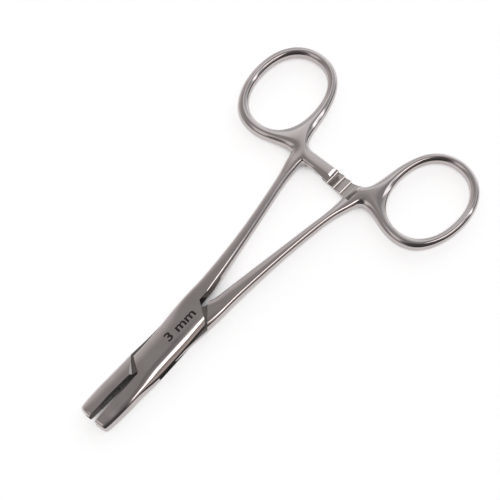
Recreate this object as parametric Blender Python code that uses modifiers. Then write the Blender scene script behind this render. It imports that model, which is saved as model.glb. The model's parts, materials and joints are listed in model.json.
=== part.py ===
"""Piercing forceps with finger rings, a ratchet and a screwless box joint.

Two forged steel branches cross at the joint. The tongue of one branch passes through a slot in the
other, between two cheeks, and a flush pin holds them. Each branch is drawn closed, in a plan of its
own: x runs along the instrument towards the jaws, and v runs from the centre line towards the
branch's own finger ring. The origin is on the pin's axis, at the underside of the joint.
"""

from math import cos, pi, radians, sin, tan

import bmesh
import bpy
from mathutils import Matrix, Vector

MM = 0.001

# The side of the centre line that each branch's ring is on
SIDE = {"box_branch": -1, "tongue_branch": 1}

# How far the forceps stand open, on the last ratchet tooth
REST_OPENING = radians(3.6)

# Box joint
BOX_THICKNESS = 5.2 * MM
BOX_WIDTH = 10.3 * MM
BOX_CROWN = 2.8 * MM
CHEEK_ANGLE = radians(54.5)
CHEEK_FRONT = 13.6 * MM
CHEEK_REAR = 12.5 * MM
CHEEK_FACET = 0.4 * MM
TONGUE_THICKNESS = 1.9 * MM
TONGUE_CLEARANCE = 0.3 * MM
TONGUE_ANGLE = radians(28)
TONGUE_REACH = 13.6 * MM
SHOULDER_FRONT_GAP = 0.5 * MM
SHOULDER_REAR_GAP = 0.2 * MM
SHOULDER_FRONT_ANGLE = radians(50)
SHOULDER_REAR_ANGLE = radians(44)
SHOULDER_STOCK = 0.8 * MM
SLOT_REACH = 16.5 * MM
SLOT_SIDE_REACH = 10.2 * MM
NECK_OFFSET = {"box_branch": -0.1 * MM, "tongue_branch": 0.3 * MM}
NECK_REAR = {"box_branch": -22.5 * MM, "tongue_branch": -17.6 * MM}
NECK_SPREAD = {"box_branch": 0.4 * MM, "tongue_branch": -0.3 * MM}
EDGE_CHAMFER = {"box_branch": 0.15 * MM, "tongue_branch": 0.4 * MM}
PIN_DIAMETER = 4.0 * MM
PIN_CLEARANCE = 0.2 * MM
PIN_EDGE = 0.1 * MM

# The neck behind the box: where its wall lies at the waist and at the two faces, and the height to
# which the waist is upright
NECK_WALL = {"box_branch": (0.2 * MM, 1.05 * MM), "tongue_branch": (0.2 * MM, 0.4 * MM)}
NECK_WAIST = 0.3 * MM

# The box from its rear shoulder to the jaw's root: x, then how far the edge on the ring's side and
# the edge on the jaw's side stand outside half the box width
JAW_ROOT = 12.0 * MM
BOX_EDGES = {
    "box_branch": (
        (-8.5 * MM, 0.23 * MM, 0.25 * MM),
        (-4.0 * MM, 0.05 * MM, 0.4 * MM),
        (0.0, -0.17 * MM, 0.45 * MM),
        (6.0 * MM, -0.45 * MM, 0.4 * MM),
        (JAW_ROOT, -0.2 * MM, 0.35 * MM),
    ),
    "tongue_branch": (
        (-8.5 * MM, 0.6 * MM, -0.15 * MM),
        (-4.0 * MM, 0.25 * MM, -0.15 * MM),
        (0.0, 0.15 * MM, -0.3 * MM),
        (6.0 * MM, 0.05 * MM, -0.35 * MM),
        (JAW_ROOT, 0.05 * MM, -0.15 * MM),
    ),
}
BOX_REAR_EDGE = {"box_branch": 0.2 * MM, "tongue_branch": 0.8 * MM}

# Jaws, from the root to the tip: share of the way to the tip, how far each branch's jaw is narrower
# than half the box width, and edge bevel
JAW_LENGTH = 31.0 * MM
JAW_TIP_THICKNESS = 4.6 * MM
JAW_TIP_SHARE = 0.8
JAW_EDGES = (
    (0.26, 0.0, 0.4 * MM, 2.4 * MM),
    (0.58, 0.1 * MM, 0.43 * MM, 2.4 * MM),
    (0.83, 0.55 * MM, 0.68 * MM, 2.0 * MM),
    (0.95, 0.8 * MM, 0.97 * MM, 1.2 * MM),
    (1.0, 1.5 * MM, 1.6 * MM, 0.5 * MM),
)
JAW_PLANE = -0.2 * MM
JAW_CLEARANCE = 0.1 * MM
CHANNEL_DIAMETER = 3.0 * MM
CHANNEL_LENGTH = 12.5 * MM

# Shanks, from the web of the ring to the box: x, outer edge and inner edge
SHANK_THICKNESS = 4.0 * MM
SHANK_BEVEL = 1.1 * MM
SHANK_SWELL_START = -40.0 * MM
SHANK_EDGES = {
    "box_branch": (
        (-64.0 * MM, 10.8 * MM, 6.15 * MM),
        (-59.0 * MM, 9.3 * MM, 6.0 * MM),
        (-51.5 * MM, 8.2 * MM, 4.95 * MM),
        (-41.5 * MM, 6.75 * MM, 3.35 * MM),
        (-31.5 * MM, 5.8 * MM, 1.9 * MM),
        (-22.5 * MM, 5.33 * MM, 0.7 * MM),
        (-17.5 * MM, 5.18 * MM, 0.2 * MM),
    ),
    "tongue_branch": (
        (-64.0 * MM, 10.3 * MM, 5.8 * MM),
        (-59.0 * MM, 8.53 * MM, 5.75 * MM),
        (-51.5 * MM, 7.62 * MM, 4.6 * MM),
        (-41.5 * MM, 6.72 * MM, 3.42 * MM),
        (-31.5 * MM, 6.18 * MM, 2.17 * MM),
        (-22.5 * MM, 5.88 * MM, 1.12 * MM),
        (-17.5 * MM, 5.83 * MM, 0.6 * MM),
    ),
}

# Finger rings
RING_REAR = -95.6 * MM
RING_OFFSET = 24.5 * MM
RING_HOLE_LENGTH = 27.6 * MM
RING_HOLE_EXTRA = {"box_branch": 0.5 * MM, "tongue_branch": 0.0}
RING_HOLE_WIDTH = 20.4 * MM
RING_TILT = {"box_branch": radians(-1.6), "tongue_branch": radians(-2.8)}
RING_SQUARENESS = 2.2
RING_BAR = {"box_branch": 3.1 * MM, "tongue_branch": 2.85 * MM}
RING_THICKNESS = 3.9 * MM
RING_BEVEL = 0.8 * MM
RING_STATIONS = 24

# How much wider the ring gets at its stations beside the web, counted from the one nearest the jaws
RING_SWELL = {-6: 0.55 * MM, -5: 1.15 * MM, -2: 1.0 * MM, -1: 0.45 * MM,
              0: 0.4 * MM, 1: 0.5 * MM, 2: 0.6 * MM, 3: 0.3 * MM}

# Web that joins ring, shank and ratchet arm
WEB_OUTER = (-67.8 * MM, 10.9 * MM)
WEB_MIDDLE = (-72.3 * MM, 11.5 * MM)

# Ratchet arms and teeth
ARM_REAR = {"box_branch": -70.5 * MM, "tongue_branch": -71.1 * MM}
ARM_FRONT = -65.7 * MM
ARM_ROOT = 7.6 * MM
ARM_FILLET = 2.6 * MM
ARM_OVERLAP = {"box_branch": 2.8 * MM, "tongue_branch": 4.0 * MM}
ARM_STATIONS = 5
ARM_EDGE = 0.5 * MM
ARM_END_SLOPE = 1.1 * MM
ARM_SIDE_SLOPE = 1.9 * MM
TOOTH_START = 4.2 * MM
TOOTH_PITCH = 2.5 * MM
TOOTH_HEIGHT = 0.6 * MM
TOOTH_CREST = 0.5 * MM
TOOTH_GAP = 0.25 * MM
RACK_RUNOUT = {"box_branch": 1.0 * MM, "tongue_branch": 3.0 * MM}

# The corner of a side: how far in it lies, what share of half the thickness is above it, and how
# sharp it is
ROUND = (0.0, 0.45, 0.0)
CRISP = (0.25 * MM, 0.16, 0.35)

# Length by which a cutter passes the surface it opens
OVERCUT = 2.0 * MM


class Plan:
    """The outline of a forging as quads; each point has half a thickness, a bevel and a corner."""

    def __init__(self):
        self.points = []
        self.quads = []

    def point(self, x, v, thickness, bevel=0.0, corner=ROUND):
        self.points.append((Vector((x, v)), thickness / 2, bevel, corner))
        return len(self.points) - 1

    def quad(self, a, b, c, d):
        corners = [self.points[i][0] for i in (a, b, c, d)]
        area = sum(p.cross(q) for p, q in zip(corners, corners[1:] + corners[:1]))
        self.quads.append((a, b, c, d) if area > 0 else (d, c, b, a))

    def strip(self, row, following):
        for i in range(len(row) - 1):
            self.quad(row[i], row[i + 1], following[i + 1], following[i])

    def border(self):
        """The outline as a map from each of its points to the next."""
        edges = {(a, b) for quad in self.quads for a, b in zip(quad, quad[1:] + quad[:1])}
        return {a: b for a, b in edges if (b, a) not in edges}

    def normals(self):
        """For each point of the outline, the direction in which its two edges move out by one."""
        after = self.border()
        before = {b: a for a, b in after.items()}
        place = [point[0] for point in self.points]
        return {i: mitre(place[before[i]], place[i], place[after[i]]) for i in after}


def mitre(before, here, after):
    """The step that moves a corner of an anticlockwise outline out by one on both its edges."""
    along = [(here - before).normalized(), (after - here).normalized()]
    sides = [Vector((d.y, -d.x)) for d in along]
    return (sides[0] + sides[1]) / (1 + sides[0].dot(sides[1]))


def forged_mesh(name, plan):
    """The plan thickened to a closed cage of quads, with its sides bevelled."""
    normals = plan.normals()
    border = plan.border()
    bm = bmesh.new()
    sharpness = bm.edges.layers.float.new("crease_edge")

    def vert(i, inset, z):
        place = plan.points[i][0] - normals[i] * inset if i in normals else plan.points[i][0]
        return bm.verts.new((place.x, SIDE[name] * place.y, z))

    waist = {i: vert(i, 0.0, 0.0) for i in border}
    for sign in (1, -1):
        face, corner = {}, {}
        for i, (place, half, bevel, (inset, depth, sharp)) in enumerate(plan.points):
            face[i] = vert(i, bevel, sign * half)
            if i in border:
                corner[i] = vert(i, inset, sign * half * (1 - depth))
        for quad in plan.quads:
            bm.faces.new([face[i] for i in quad])
        for a, b in border.items():
            bm.faces.new((face[a], corner[a], corner[b], face[b]))
            bm.faces.new((corner[a], waist[a], waist[b], corner[b]))
            sharp = min(plan.points[i][3][2] for i in (a, b))
            bm.edges.get((corner[a], corner[b]))[sharpness] = sharp
    bmesh.ops.recalc_face_normals(bm, faces=bm.faces)
    mesh = bpy.data.meshes.new(name)
    bm.to_mesh(mesh)
    bm.free()
    mesh.shade_smooth()
    return mesh


def ring_point(name, station, offset=0.0):
    """A point of the finger hole's outline, moved out of the hole by offset."""
    power = 2 / RING_SQUARENESS
    angle = station * 2 * pi / RING_STATIONS
    half_length = (RING_HOLE_LENGTH + RING_HOLE_EXTRA[name]) / 2
    half_width = RING_HOLE_WIDTH / 2

    def outline(a):
        c, s = cos(a), sin(a)
        return Vector((half_length * abs(c) ** power * (1 if c > 0 else -1),
                       half_width * abs(s) ** power * (1 if s > 0 else -1)))

    step = radians(1)
    tangent = (outline(angle + step) - outline(angle - step)).normalized()
    point = outline(angle) + Vector((tangent.y, -tangent.x)) * offset
    point.rotate(Matrix.Rotation(RING_TILT[name], 2))
    return point + Vector((RING_REAR + half_length, RING_OFFSET))


def plan_ring(plan, name):
    """The finger ring with its web; returns the web's three points, from rear to front."""
    web = {-4: WEB_MIDDLE, -3: WEB_OUTER}
    first = -RING_STATIONS // 2
    hole, outer = {}, {}
    for k in range(first, first + RING_STATIONS):
        hole[k] = plan.point(*ring_point(name, k), RING_THICKNESS, RING_BEVEL)
        width = RING_BAR[name] + RING_SWELL.get(k, 0.0)
        place = web.get(k) or ring_point(name, k, width)
        bevel = SHANK_BEVEL if -6 < k < -2 else RING_BEVEL
        outer[k] = plan.point(*place, RING_THICKNESS, bevel)
    for k in hole:
        following = k + 1 if k + 1 in hole else first
        plan.quad(hole[k], hole[following], outer[following], outer[k])
    return [outer[k] for k in (-5, -4, -3)]


def plan_arm(plan, name, web):
    """The ratchet arm across the centre line; returns the corner where the shank starts."""
    rear, middle = ARM_REAR[name], (ARM_REAR[name] + ARM_FRONT) / 2
    shank_inner = SHANK_EDGES[name][0][2]
    row = [plan.point(rear - 0.1 * MM, ARM_ROOT + 1.4 * MM, SHANK_THICKNESS, 0.8 * MM),
           plan.point(middle, ARM_ROOT, SHANK_THICKNESS),
           plan.point(ARM_FRONT - 0.1 * MM, shank_inner + 0.2 * MM, SHANK_THICKNESS, 0.7 * MM, CRISP)]
    corner = row[2]
    plan.strip(web, row)
    start = ARM_ROOT - ARM_FILLET
    for k in range(ARM_STATIONS):
        v = start - (start + ARM_OVERLAP[name]) * k / (ARM_STATIONS - 1)
        following = [plan.point(x, v, SHANK_THICKNESS, ARM_EDGE, CRISP)
                     for x in (rear, middle, ARM_FRONT)]
        plan.strip(row, following)
        row = following
    return corner


def plan_shank(plan, name, row):
    """The shank, which swells in thickness towards the box; returns its last row."""
    for x, outer, inner in SHANK_EDGES[name]:
        share = max(0.0, 1 - x / SHANK_SWELL_START) ** 2
        thickness = SHANK_THICKNESS + (BOX_THICKNESS - SHANK_THICKNESS) * share
        bevel = SHANK_BEVEL + (BOX_CROWN / 2 - SHANK_BEVEL) * share
        following = [plan.point(x, outer, thickness, SHANK_BEVEL, CRISP),
                     plan.point(x, inner, thickness, bevel, CRISP)]
        plan.strip(row, following)
        row = following
    return row


def rear_line(name):
    """Reach and angle of the oblique edge behind the pin, which the rear notch leaves."""
    if name == "box_branch":
        return CHEEK_REAR, CHEEK_ANGLE
    return TONGUE_REACH, TONGUE_ANGLE


def plan_box_and_jaw(plan, name, row):
    """The crossing part, whose rear edge slants, and the bar of full width for the jaw."""
    reach, angle = rear_line(name)
    neck = NECK_OFFSET[name]
    half = BOX_WIDTH / 2
    jaw_edge = half + BOX_EDGES[name][0][2]
    slant = (jaw_edge + neck) / tan(angle) - BOX_CROWN
    rear = -reach - SHOULDER_STOCK
    following = [plan.point(rear, half + BOX_REAR_EDGE[name], BOX_THICKNESS, SHANK_BEVEL, CRISP),
                 plan.point(rear, neck, BOX_THICKNESS, SHANK_BEVEL, CRISP)]
    plan.strip(row, following)
    row = following + [plan.point(rear + slant, -jaw_edge, BOX_THICKNESS, BOX_CROWN)]
    last_slanted = BOX_EDGES[name][3][0]
    for x, own, other in BOX_EDGES[name]:
        shift = slant * max(0.0, (last_slanted - x) / (last_slanted - rear))
        edge = (SHANK_BEVEL, CRISP) if x < -half else (BOX_CROWN, ROUND)
        following = [plan.point(x, half + own, BOX_THICKNESS, *edge),
                     plan.point(x + shift * 0.3, 0.0, BOX_THICKNESS),
                     plan.point(x + shift, -half - other, BOX_THICKNESS, BOX_CROWN)]
        plan.strip(row, following)
        row = following
    for share, box_inset, tongue_inset, bevel in JAW_EDGES:
        jaw = half - (box_inset if name == "box_branch" else tongue_inset)
        thickness = JAW_TIP_THICKNESS if share > JAW_TIP_SHARE else BOX_THICKNESS
        x = JAW_ROOT + share * (JAW_LENGTH - JAW_ROOT)
        centre_bevel = bevel if share == 1.0 else 0.0
        following = [plan.point(x, jaw, thickness, bevel),
                     plan.point(x, 0.0, thickness, centre_bevel),
                     plan.point(x, -jaw, thickness, bevel)]
        plan.strip(row, following)
        row = following


def branch_plan(name):
    plan = Plan()
    web = plan_ring(plan, name)
    corner = plan_arm(plan, name, web)
    row = plan_shank(plan, name, [web[-1], corner])
    plan_box_and_jaw(plan, name, row)
    return plan


def cut(blank, name, bm):
    """Cuts a tool out of the blank, and keeps the tool with it."""
    bmesh.ops.recalc_face_normals(bm, faces=bm.faces)
    mesh = bpy.data.meshes.new(name)
    bm.to_mesh(mesh)
    bm.free()
    tool = bpy.data.objects.new(name, mesh)
    tool.hide_render = True
    tool.display_type = "WIRE"
    tool.parent = blank
    bpy.data.collections["cutters"].objects.link(tool)
    modifier = blank.modifiers.new(name, "BOOLEAN")
    modifier.operation = "DIFFERENCE"
    modifier.object = tool


def loft(sections):
    """A closed solid through sections with the same number of points."""
    bm = bmesh.new()
    rings = [[bm.verts.new(point) for point in section] for section in sections]
    bm.faces.new(reversed(rings[0]))
    bm.faces.new(rings[-1])
    for low, high in zip(rings, rings[1:]):
        for i in range(len(low)):
            bm.faces.new((low[i - 1], low[i], high[i], high[i - 1]))
    return bm


def prism(outline, levels):
    """A solid over a convex outline, each level given as its height and how far it is grown."""
    points = [Vector(p) for p in outline]
    if sum(p.cross(q) for p, q in zip(points, points[1:] + points[:1])) < 0:
        points.reverse()
    corners = zip(points[-1:] + points[:-1], points, points[1:] + points[:1])
    normals = [mitre(*corner) for corner in corners]
    return loft([[(*(p + n * grown), z) for p, n in zip(points, normals)] for z, grown in levels])


def cut_notch(blank, place, outline):
    """Cuts through the branch, with chamfered edges; the outline is given as (x, v)."""
    name = blank.name
    chamfer = EDGE_CHAMFER[name]
    face = BOX_THICKNESS / 2
    levels = [(-face - OVERCUT, chamfer + OVERCUT), (-face + chamfer, 0.0),
              (face - chamfer, 0.0), (face + OVERCUT, chamfer + OVERCUT)]
    turned = [(x, SIDE[name] * v) for x, v in outline]
    cut(blank, f"{name}_{place}_notch", prism(turned, levels))


def jaw_face(name):
    """Distance of the branch's gripping face from the centre line, towards its own ring."""
    return SIDE[name] * JAW_PLANE - JAW_CLEARANCE / 2


def cut_jaw_notch(blank):
    """Clears the ring's side in front of the pin, which leaves the jaw and its flat face."""
    name = blank.name
    reach, angle = ((CHEEK_FRONT, CHEEK_ANGLE) if name == "box_branch"
                    else (TONGUE_REACH, TONGUE_ANGLE))
    front = JAW_LENGTH + OVERCUT
    lean = BOX_WIDTH / tan(angle)
    cut_notch(blank, "front", [(reach, jaw_face(name)), (front, jaw_face(name)),
                               (front, BOX_WIDTH), (reach - lean, BOX_WIDTH)])


def cut_neck_notch(blank):
    """Clears the jaw's side behind the pin, which leaves the neck and the oblique rear edge."""
    name = blank.name
    reach, angle = rear_line(name)
    neck, rear = NECK_OFFSET[name], NECK_REAR[name]
    at_waist, at_face = NECK_WALL[name]
    face = BOX_THICKNESS / 2
    slope = (at_face - at_waist) / (face - NECK_WAIST)
    sections = []
    for z in (-face - OVERCUT, -NECK_WAIST, NECK_WAIST, face + OVERCUT):
        wall = at_waist + slope * (abs(z) - NECK_WAIST)
        outline = [(-reach - (wall - neck) / tan(angle), wall), (rear, wall + NECK_SPREAD[name]),
                   (rear, -BOX_WIDTH), (-reach + (BOX_WIDTH + neck) / tan(angle), -BOX_WIDTH)]
        sections.append([(x, SIDE[name] * v, z) for x, v in outline])
    cut(blank, f"{name}_rear_notch", loft(sections))


def cut_slot(blank):
    """The slot between the cheeks, open on both sides for the tongue."""
    half = TONGUE_THICKNESS / 2 + TONGUE_CLEARANCE
    far = BOX_WIDTH * 0.56
    outline = [(-SLOT_REACH, 0.15 * MM), (-SLOT_SIDE_REACH - 1.1 * MM, -far),
               (SLOT_REACH - 1.0 * MM, -far), (SLOT_REACH, JAW_PLANE - 0.5 * MM),
               (SLOT_SIDE_REACH, far), (-SLOT_REACH + 1.0 * MM, far)]
    cut(blank, "slot", prism(outline, [(-half, 0.0), (half, 0.0)]))


def cut_laps(blank):
    """The laps milled off the tongue's two faces, between shoulders that face the cheeks."""
    edge = BOX_WIDTH / 2
    neck = NECK_OFFSET["box_branch"]
    cheek_front = CHEEK_FRONT - edge / tan(CHEEK_ANGLE)
    cheek_rear = -CHEEK_REAR + (edge + neck) / tan(CHEEK_ANGLE)
    front = cheek_front + SHOULDER_FRONT_GAP / sin(SHOULDER_FRONT_ANGLE)
    rear = cheek_rear - SHOULDER_REAR_GAP / sin(SHOULDER_REAR_ANGLE)
    low, high = -BOX_WIDTH, BOX_WIDTH
    outline = [(front + (low + edge) / tan(SHOULDER_FRONT_ANGLE), low),
               (front + (high + edge) / tan(SHOULDER_FRONT_ANGLE), high),
               (rear + (high - edge) / tan(SHOULDER_REAR_ANGLE), high),
               (rear + (low - edge) / tan(SHOULDER_REAR_ANGLE), low)]
    chamfer = EDGE_CHAMFER["tongue_branch"]
    face = BOX_THICKNESS / 2
    levels = [(TONGUE_THICKNESS / 2, 0.0), (face - chamfer, 0.0),
              (face + OVERCUT, chamfer + OVERCUT)]
    cut(blank, "upper_lap", prism(outline, levels))
    cut(blank, "lower_lap", prism(outline, [(-z, grown) for z, grown in reversed(levels)]))


def rack_profile(name):
    """The metal milled off the arm of the lower branch, as (v, height) seen from the jaws."""
    crest = -TOOTH_GAP / 2
    trough = crest - TOOTH_HEIGHT
    top = SHANK_THICKNESS
    runout = RACK_RUNOUT[name]
    profile = [(TOOTH_START + runout, top), (TOOTH_START + runout, SHANK_THICKNESS / 2),
               (TOOTH_START + runout * 0.45, SHANK_THICKNESS * 0.12),
               (TOOTH_START + runout * 0.2, trough)]
    end = -ARM_OVERLAP[name]
    tooth_count = int((TOOTH_START - end) / TOOTH_PITCH) + 1
    for k in range(tooth_count):
        v = TOOTH_START - k * TOOTH_PITCH
        profile += [(v + 0.12 * MM, trough), (v, crest), (v - TOOTH_CREST, crest),
                    (v - TOOTH_PITCH + TOOTH_CREST, trough)]
    return profile[:-1] + [(end - OVERCUT, crest), (end - OVERCUT, top)]


def cut_ratchet(blank):
    """Teeth on top of the tongue branch's arm, and underneath the arm of the box branch."""
    name = blank.name
    up = 1 if name == "tongue_branch" else -1
    cut(blank, f"{name}_rack",
        loft([[(x, SIDE[name] * v, up * height) for v, height in rack_profile(name)]
              for x in (ARM_REAR[name] - OVERCUT, ARM_FRONT + 0.8 * MM)]))


def cut_facet(blank, name, start, end, lower):
    """Cuts off what lies outside a plane through a facet's two upper ends and a lower point."""
    start, end, lower = Vector(start), Vector(end), Vector(lower)
    along = (end - start).normalized()
    down = lower - start
    down = (down - along * down.dot(along)).normalized()
    outward = along.cross(down)
    if (start.z > 0) != (outward.z > 0):
        outward.negate()
    size = 2 * OVERCUT
    cut(blank, name, loft([[place - down * size, place + down * size,
                            place + down * size + outward * size,
                            place - down * size + outward * size] for place in (start, end)]))


def cut_arm_facets(blank):
    """The upper arm slopes down at its free end, and along its front towards that end."""
    end = ARM_OVERLAP["box_branch"]
    top = SHANK_THICKNESS / 2
    low = TOOTH_HEIGHT
    rear = ARM_REAR["box_branch"]
    cut_facet(blank, "arm_end_facet", (rear - OVERCUT, end - ARM_END_SLOPE, top),
              (ARM_FRONT + OVERCUT, end - ARM_END_SLOPE, top), (ARM_FRONT, end, low))
    cut_facet(blank, "arm_side_facet", (ARM_FRONT, ARM_FILLET - ARM_ROOT, top),
              (ARM_FRONT - ARM_SIDE_SLOPE, end + OVERCUT, top), (ARM_FRONT, end, low))


def cut_cheek_facets(blank):
    """The front edges of both cheeks, beside the jaw of the other branch."""
    side = SIDE["box_branch"]
    start = Vector((CHEEK_FRONT, side * jaw_face("box_branch")))
    along = Vector((-cos(CHEEK_ANGLE), side * sin(CHEEK_ANGLE)))
    outward = Vector((sin(CHEEK_ANGLE), side * cos(CHEEK_ANGLE)))
    end = start + along * BOX_WIDTH
    start, end = start - outward * CHEEK_FACET, end - outward * CHEEK_FACET
    for place, up in (("upper", 1), ("lower", -1)):
        face = up * BOX_THICKNESS / 2
        cut_facet(blank, f"{place}_cheek_facet", (*start, face), (*end, face),
                  (*(start + outward * CHEEK_FACET), face - up * CHEEK_FACET))


def cut_pin_hole(blank, clearance):
    bm = bmesh.new()
    radius = PIN_DIAMETER / 2 + clearance
    bmesh.ops.create_cone(bm, segments=32, cap_ends=True, radius1=radius, radius2=radius,
                          depth=BOX_THICKNESS + 2 * OVERCUT)
    cut(blank, f"{blank.name}_pin_hole", bm)


def cut_channel(blank):
    """Half of the round channel in the jaw's face, with a ball end."""
    bm = bmesh.new()
    radius = CHANNEL_DIAMETER / 2
    turn = Matrix.Rotation(pi / 2, 4, "Y")
    bmesh.ops.create_uvsphere(bm, u_segments=24, v_segments=12, radius=radius, matrix=turn)
    front = [vert for vert in bm.verts if vert.co.x > radius / 100]
    bmesh.ops.delete(bm, geom=front, context="VERTS")
    rim = [edge for edge in bm.edges if edge.is_boundary]
    tube = bmesh.ops.extrude_edge_only(bm, edges=rim)["geom"]
    moved = [item for item in tube if isinstance(item, bmesh.types.BMVert)]
    bmesh.ops.translate(bm, verts=moved, vec=(CHANNEL_LENGTH + OVERCUT, 0, 0))
    bmesh.ops.contextual_create(bm, geom=[edge for edge in bm.edges if edge.is_boundary])
    start = JAW_LENGTH - CHANNEL_LENGTH + radius
    bmesh.ops.translate(bm, verts=bm.verts, vec=(start, JAW_PLANE, 0))
    cut(blank, f"{blank.name}_channel", bm)


def steel(name, roughness):
    material = bpy.data.materials.new(name)
    material.use_nodes = True
    shader = material.node_tree.nodes["Principled BSDF"]
    shader.inputs["Base Color"].default_value = (0.62, 0.61, 0.6, 1)
    shader.inputs["Metallic"].default_value = 1.0
    shader.inputs["Roughness"].default_value = roughness
    return material


def forge_branch(name, parts, material):
    """The blank of a branch with ratchet and notches, turned open about the pin."""
    blank = bpy.data.objects.new(name, forged_mesh(name, branch_plan(name)))
    parts.objects.link(blank)
    blank.data.materials.append(material)
    forging = blank.modifiers.new("forging", "SUBSURF")
    forging.levels = 1
    forging.render_levels = 1
    cut_ratchet(blank)
    cut_jaw_notch(blank)
    cut_neck_notch(blank)
    blank.rotation_euler.z = -SIDE[name] * REST_OPENING / 2
    blank.location.z = BOX_THICKNESS / 2
    return blank


def build_joint_pin(parts, material):
    bm = bmesh.new()
    bmesh.ops.create_cone(bm, segments=32, cap_ends=True, radius1=PIN_DIAMETER / 2,
                          radius2=PIN_DIAMETER / 2, depth=BOX_THICKNESS)
    mesh = bpy.data.meshes.new("joint_pin")
    bm.to_mesh(mesh)
    bm.free()
    mesh.shade_smooth()
    mesh.set_sharp_from_angle(angle=radians(30))
    mesh.materials.append(material)
    pin = bpy.data.objects.new("joint_pin", mesh)
    pin.location.z = BOX_THICKNESS / 2
    parts.objects.link(pin)
    edge = pin.modifiers.new("edge", "BEVEL")
    edge.width = PIN_EDGE
    edge.segments = 1


def build():
    for item in list(bpy.data.objects):
        bpy.data.objects.remove(item)
    parts = bpy.data.collections.new("piercing_forceps")
    cutters = bpy.data.collections.new("cutters")
    for collection in (parts, cutters):
        bpy.context.scene.collection.children.link(collection)

    polished = steel("polished_steel", 0.22)
    box = forge_branch("box_branch", parts, polished)
    cut_slot(box)
    cut_pin_hole(box, PIN_CLEARANCE)
    cut_channel(box)
    cut_cheek_facets(box)
    cut_arm_facets(box)

    tongue = forge_branch("tongue_branch", parts, polished)
    cut_laps(tongue)
    cut_pin_hole(tongue, TONGUE_CLEARANCE)
    cut_channel(tongue)

    build_joint_pin(parts, steel("pin_steel", 0.25))


build()
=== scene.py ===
import json
from math import cos, pi, radians, sin, tan

import bmesh
import bpy
from mathutils import Matrix, Vector
from mathutils.bvhtree import BVHTree

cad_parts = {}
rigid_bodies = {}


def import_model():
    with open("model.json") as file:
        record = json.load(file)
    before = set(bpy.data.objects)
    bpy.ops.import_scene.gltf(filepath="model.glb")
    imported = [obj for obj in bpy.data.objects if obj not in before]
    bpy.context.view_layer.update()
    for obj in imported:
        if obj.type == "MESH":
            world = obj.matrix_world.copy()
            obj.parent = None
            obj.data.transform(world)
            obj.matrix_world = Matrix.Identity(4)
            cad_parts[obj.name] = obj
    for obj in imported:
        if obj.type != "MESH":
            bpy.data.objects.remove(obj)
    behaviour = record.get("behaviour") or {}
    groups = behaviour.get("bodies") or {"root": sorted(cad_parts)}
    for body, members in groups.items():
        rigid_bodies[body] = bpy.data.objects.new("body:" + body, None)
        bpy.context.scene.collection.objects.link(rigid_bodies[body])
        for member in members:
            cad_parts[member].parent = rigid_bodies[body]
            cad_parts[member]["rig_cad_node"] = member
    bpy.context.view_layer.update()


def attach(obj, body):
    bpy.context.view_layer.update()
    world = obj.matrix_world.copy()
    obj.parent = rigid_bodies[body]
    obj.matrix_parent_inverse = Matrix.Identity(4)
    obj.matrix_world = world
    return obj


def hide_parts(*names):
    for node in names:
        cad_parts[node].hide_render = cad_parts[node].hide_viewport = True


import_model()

# The two branches. Each is one drop forging of stainless steel, ground and polished all over:
# finger ring, web, ratchet arm and shank in one piece, swelling to the box and the jaw. They lie
# here as forged, before the joint, the jaws and the ratchet are milled.

MM = 0.001
SIDE = {"box_branch": -1, "tongue_branch": 1}
SHANK_THICKNESS = 4.0 * MM
SHANK_BEVEL = 1.1 * MM
BOX_THICKNESS = 5.2 * MM
BOX_WIDTH = 10.3 * MM
BOX_CROWN = 2.8 * MM
JAW_LENGTH = 31.0 * MM
REST_OPENING = radians(3.6)

ROUND = (0.0, 0.45, 0.0)
CRISP = (0.25 * MM, 0.22, 0.15)


class Plan:
    """The outline of a forging as quads, each point with half a thickness, an edge bevel and a
    corner: how far in it lies, what share of the height is above it, and its sharpness."""

    def __init__(self):
        self.points = []
        self.quads = []

    def point(self, x, v, thickness, bevel=0.0, corner=ROUND):
        self.points.append((Vector((x, v)), thickness / 2, bevel, corner))
        return len(self.points) - 1

    def quad(self, a, b, c, d):
        corners = [self.points[i][0] for i in (a, b, c, d)]
        area = sum(p.cross(q) for p, q in zip(corners, corners[1:] + corners[:1]))
        self.quads.append((a, b, c, d) if area > 0 else (d, c, b, a))

    def strip(self, row, following):
        for i in range(len(row) - 1):
            self.quad(row[i], row[i + 1], following[i + 1], following[i])

    def border(self):
        edges = {(a, b) for quad in self.quads for a, b in zip(quad, quad[1:] + quad[:1])}
        return {a: b for a, b in edges if (b, a) not in edges}

    def normals(self):
        after = self.border()
        before = {b: a for a, b in after.items()}
        place = [point[0] for point in self.points]
        return {i: mitre(place[before[i]], place[i], place[after[i]]) for i in after}


def mitre(before, here, after):
    """The step that moves a corner of an anticlockwise outline out by one on both its edges."""
    along = [(here - before).normalized(), (after - here).normalized()]
    sides = [Vector((d.y, -d.x)) for d in along]
    return (sides[0] + sides[1]) / (1 + sides[0].dot(sides[1]))


RING_REAR = -95.6 * MM
RING_OFFSET = 24.5 * MM
RING_HOLE_LENGTH = 27.6 * MM
RING_HOLE_EXTRA = {"box_branch": 0.5 * MM, "tongue_branch": 0.0}
RING_HOLE_WIDTH = 20.4 * MM
RING_TILT = {"box_branch": radians(-1.6), "tongue_branch": radians(-2.8)}
RING_SQUARENESS = 2.2
RING_BAR = {"box_branch": 3.1 * MM, "tongue_branch": 2.85 * MM}
RING_THICKNESS = 3.9 * MM
RING_BEVEL = 0.8 * MM
RING_STATIONS = 24
RING_SWELL = {-6: 0.55 * MM, -5: 1.15 * MM, -2: 1.0 * MM, -1: 0.45 * MM,
              0: 0.4 * MM, 1: 0.5 * MM, 2: 0.6 * MM, 3: 0.3 * MM}
WEB_STATIONS = (-5, -4, -3)
WEB_OUTER = (-67.8 * MM, 10.9 * MM)
WEB_MIDDLE = (-72.3 * MM, 11.5 * MM)


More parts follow.
